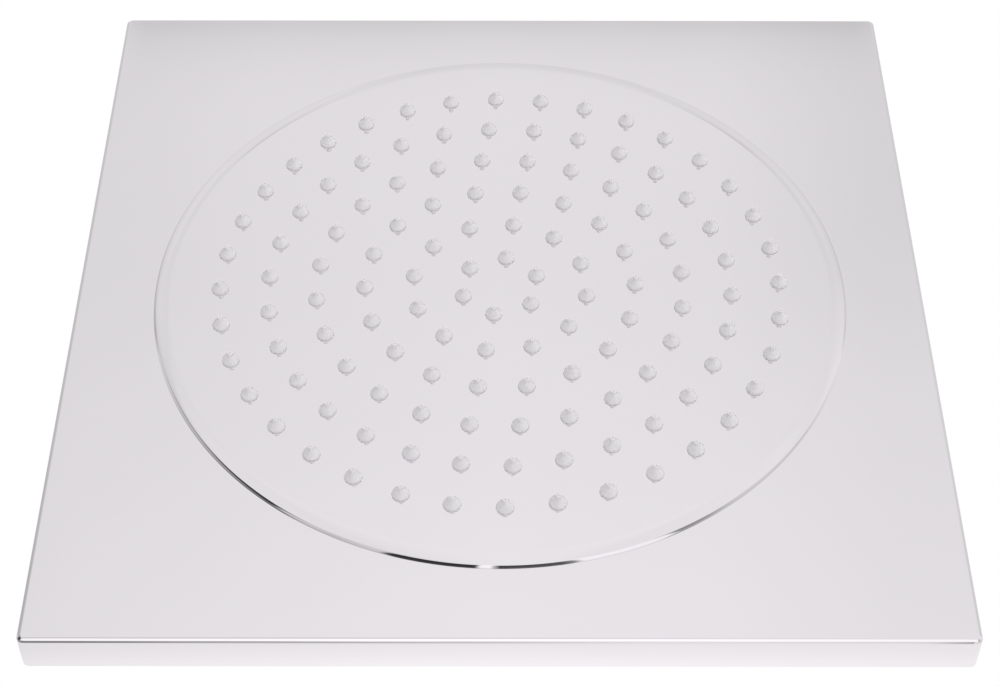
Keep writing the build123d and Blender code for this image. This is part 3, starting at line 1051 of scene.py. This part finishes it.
# Back of the room, each part by the range along which it gives way
WALL_FRONT = (-0.25, 0.05)
WALL_SIDE = (0.12, 0.28)
SEAM_FRONT = (-0.70, -0.64)
SEAM_SIDE = (0.160, 0.176)
LEFT_SIDE = (-0.165, -0.11)
LEFT_SHARE = 0.964
RIGHT_SIDE = (0.10, 0.165)
RIGHT_SHARE = 0.942
CORNER_FRONT = (-0.62, -0.50)
CORNER_SIDE = (0.20, 0.28)
CORNER_HEIGHT = (-0.60, -0.65)
CORNER_SOFT = 0.14

# Soft light, which is all but the mirror reflections
SOFT_SIDE = (-0.9, 0.3)
SOFT_LIGHT = (0.78, 1.08)  # shares from the left and from the right


def on_ground(tree, way, light):
    """A grey strip and a gleam before the opening."""
    low = below(tree, way["Z"], GROUND_HEIGHT)
    strip = levels(tree, way["Y"], THRESHOLD)
    left = spread(tree, way["X"], *STRIP_SIDE, 1.0, STRIP_FAINT)
    light = shaded(tree, light, strip, product(tree, low, left))
    gleam = spread(tree, product(tree, low, way["Y"]), *GLEAM_FRONT, 1.0, GLEAM)
    return times(tree, light, gleam)


def on_back(tree, way, light):
    """A darker middle, a seam that is straight on the face, darker ends, and paler corners above."""
    aside = put(tree, "ShaderNodeMath", {0: way["X"]}, operation="ABSOLUTE").outputs[0]
    wall = levels(tree, way["Z"], BACK_WALL)
    middle = product(tree, falling(tree, way["Y"], WALL_FRONT), falling(tree, aside, WALL_SIDE))
    light = shaded(tree, light, wall, middle)

    rest = falling(tree, product(tree, aside, aside), (0.0, 1.0))
    stretch = put(tree, "ShaderNodeMath", {0: rest}, operation="INVERSE_SQRT").outputs[0]
    seam = levels(tree, product(tree, way["Z"], stretch), BACK_SEAM)
    seam = blend(tree, rising(tree, aside, SEAM_SIDE), seam, WHITE)
    left = spread(tree, way["X"], *LEFT_SIDE, LEFT_SHARE, 1.0)
    right = spread(tree, way["X"], *RIGHT_SIDE, 1.0, RIGHT_SHARE)
    seam = times(tree, seam, product(tree, left, right))
    slope = spread(tree, way["X"], *SLOPE_SIDE, *SLOPE)
    slope = blend(tree, below(tree, way["Z"], GROUND_HEIGHT), WHITE, slope)
    away = falling(tree, way["Y"], SEAM_FRONT)
    light = times(tree, light, blend(tree, away, slope, seam))

    foot = spread(tree, aside, *CORNER_SIDE, *CORNER_HEIGHT)
    above = rising(tree, way["Z"], (foot, sum_of(tree, foot, CORNER_SOFT)))
    behind = falling(tree, way["Y"], CORNER_FRONT)
    return shaded(tree, light, ramp(tree, aside, BACK_CORNERS), product(tree, above, behind))


def open_front(tree, way, rays):
    """What the open front shows, and the mask of where and by which rays it is seen."""
    heading = put(tree, "ShaderNodeMath", {0: way["X"], 1: way["Y"]}, operation="ARCTAN2").outputs[0]
    flags = levels(tree, heading, OPENING, 180, radians(1))
    horizon = levels(tree, heading, HORIZON, 180, radians(1))
    sight = blend(tree, rising(tree, way["Z"], HORIZON_HEIGHT), flags, horizon)
    sill = spread(tree, way["Y"], *SILL_FRONT, *SILL_HEIGHT)
    low_edge = rising(tree, way["Z"], (sill, sum_of(tree, sill, SILL_SOFT)), "SMOOTHSTEP")
    high_edge = falling(tree, way["Z"], LINTEL_HEIGHT, "SMOOTHSTEP")
    front = rising(tree, way["Y"], JAMB_FRONT, "SMOOTHSTEP")
    mirrored = product(tree, rays["Is Glossy Ray"], below(tree, rays["Diffuse Depth"], FIRST_BOUNCES))
    return sight, product(tree, product(tree, low_edge, high_edge), product(tree, front, mirrored))


def studio():
    """A pale tent with an open front, seen by everything but the camera, which sees plain white."""
    world = bpy.data.worlds.new("studio")
    scene.world = world
    world.use_nodes = True
    tree = world.node_tree
    tree.nodes.clear()
    direction = put(tree, "ShaderNodeTexCoord").outputs["Generated"]
    way = put(tree, "ShaderNodeSeparateXYZ", {"Vector": direction}).outputs
    rays = put(tree, "ShaderNodeLightPath").outputs
    light = on_ground(tree, way, levels(tree, way["Z"], TENT))
    light = on_back(tree, way, light)
    sight, window = open_front(tree, way, rays)
    room = blend(tree, window, light, sight)
    right = product(tree, way["X"], below(tree, way["Z"], SIDES_TOP))
    across = put(tree, "ShaderNodeMath", {0: way["X"], 1: right}, operation="MINIMUM").outputs[0]
    room = times(tree, times(tree, room, levels(tree, across, SIDES)), ROOM_TINT)
    soft = times(tree, room, spread(tree, way["X"], *SOFT_SIDE, *SOFT_LIGHT))
    room = blend(tree, rays["Is Glossy Ray"], soft, room)
    view = blend(tree, rays["Is Camera Ray"], room, WHITE)
    back = put(tree, "ShaderNodeBackground", {"Color": view, "Strength": 1.0})
    put(tree, "ShaderNodeOutputWorld", {"Surface": back.outputs[0]})


studio()


def pale_floor():
    """A round floor, left out of reflections. The camera sees it almost white."""
    skin = Skin()
    skin.mesh.faces.new(skin.loop(circle(FLOOR_R, FLOOR_Z, FLOOR_STEPS)))
    material, tree, shader, place = new_finish("pale_floor")
    cloud = two_tone(tree, noise(tree, place, scale=0.8), (0.91, 0.91, 0.91), (0.94, 0.94, 0.94))
    feed(tree, shader, Base_Color=cloud, Roughness=0.8)
    seen = put(tree, "ShaderNodeLightPath").outputs["Is Camera Ray"]
    white = put(tree, "ShaderNodeEmission", {"Color": WHITE, "Strength": 1.0}).outputs[0]
    inputs = {0: product(tree, seen, FLOOR_WHITE), 1: shader.outputs[0], 2: white}
    mixed = put(tree, "ShaderNodeMixShader", inputs).outputs[0]
    tree.links.new(mixed, tree.get_output_node("ALL").inputs["Surface"])
    floor = skin.finish("floor", material)
    floor.visible_glossy = False
    floor.visible_diffuse = False
    floor.visible_transmission = False
    floor.visible_shadow = False


pale_floor()


# Camera

def photo_camera():
    lens = bpy.data.cameras.new("camera")
    lens.lens = LENS_MM
    lens.sensor_width = SENSOR_MM
    lens.sensor_fit = "HORIZONTAL"
    camera = bpy.data.objects.new("camera", lens)
    scene.collection.objects.link(camera)
    ahead = Vector((0, -cos(CAMERA_ELEVATION), sin(CAMERA_ELEVATION)))
    right = Vector((1, 0, 0))
    up = right.cross(ahead)
    turn = Matrix((right, up, -ahead)).transposed() @ Matrix.Rotation(CAMERA_ROLL, 3, "Z")
    camera.matrix_world = Matrix.Translation(CAMERA_AT) @ turn.to_4x4()
    scene.camera = camera


photo_camera()
scene.view_settings.view_transform = "Standard"
